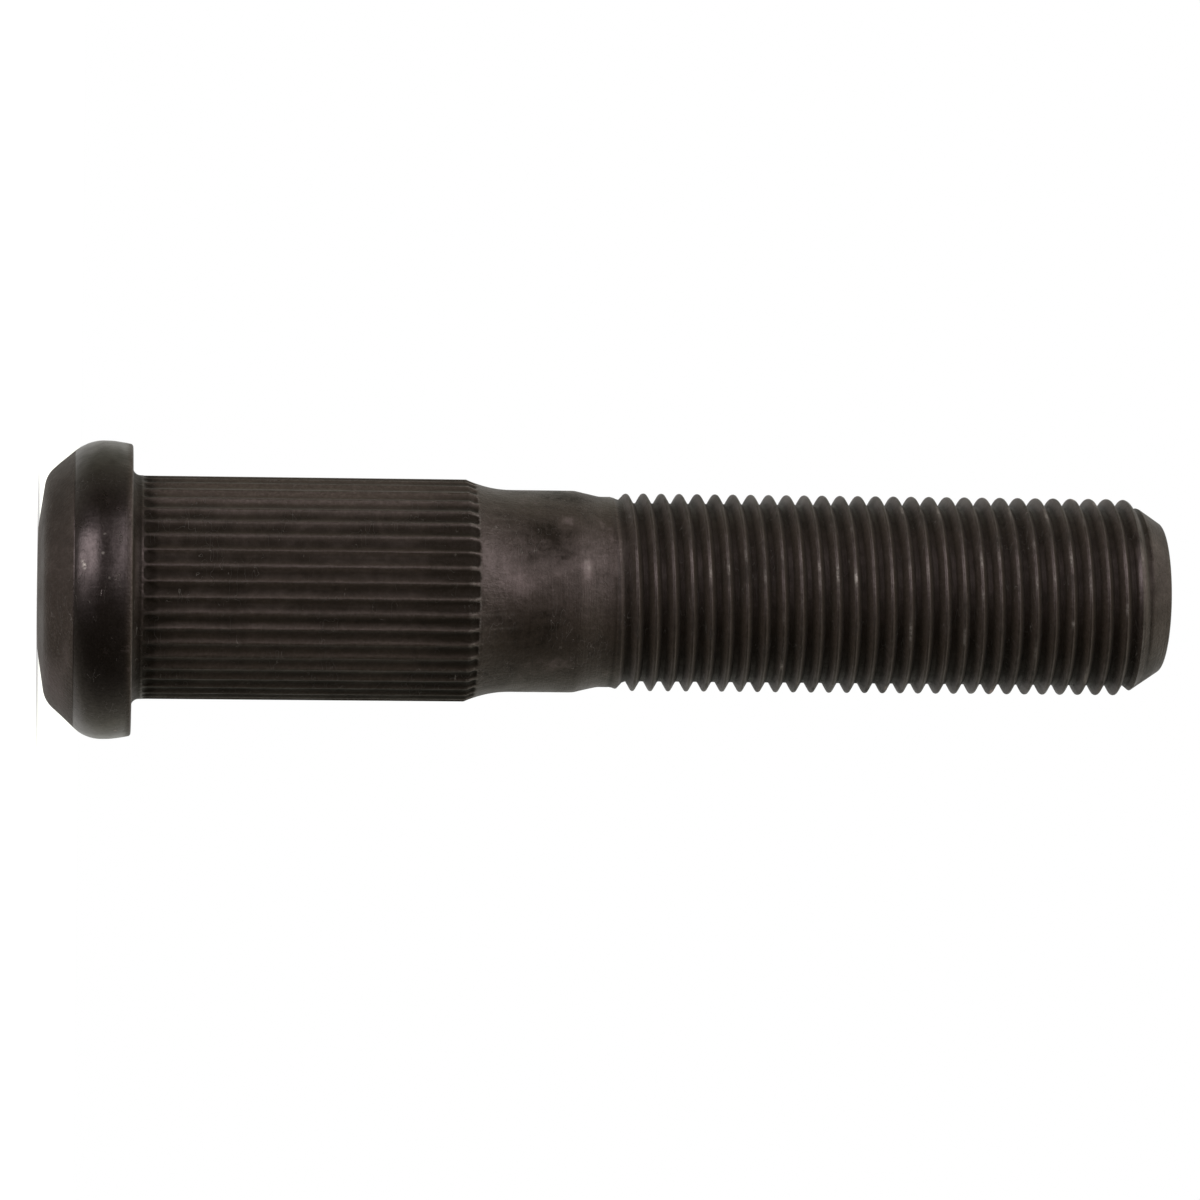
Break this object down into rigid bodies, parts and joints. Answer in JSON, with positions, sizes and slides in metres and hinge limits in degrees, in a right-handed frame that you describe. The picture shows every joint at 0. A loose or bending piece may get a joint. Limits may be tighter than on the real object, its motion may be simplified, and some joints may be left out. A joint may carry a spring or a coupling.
{
  "type": "wheel stud",
  "caption": "Press-in wheel stud with a round forged head, a straight knurl, a plain neck and a fine right-hand thread for the wheel nut.",
  "frame": {"origin": "on the shank's axis, in the flat end face of the head, which the stud stands on", "axes": "+Z along the shank's axis, from the head to the threaded tip; +X is the side that the head is set off to, by 0.33 mm"},
  "size_m": [0.0328, 0.0328, 0.1247],
  "materials": {
    "phosphated_steel": "brown-black phosphate, oiled, satin"
  },
  "bodies": {
    "root": {"stud": "phosphated_steel"}
  },
  "joints": []
}
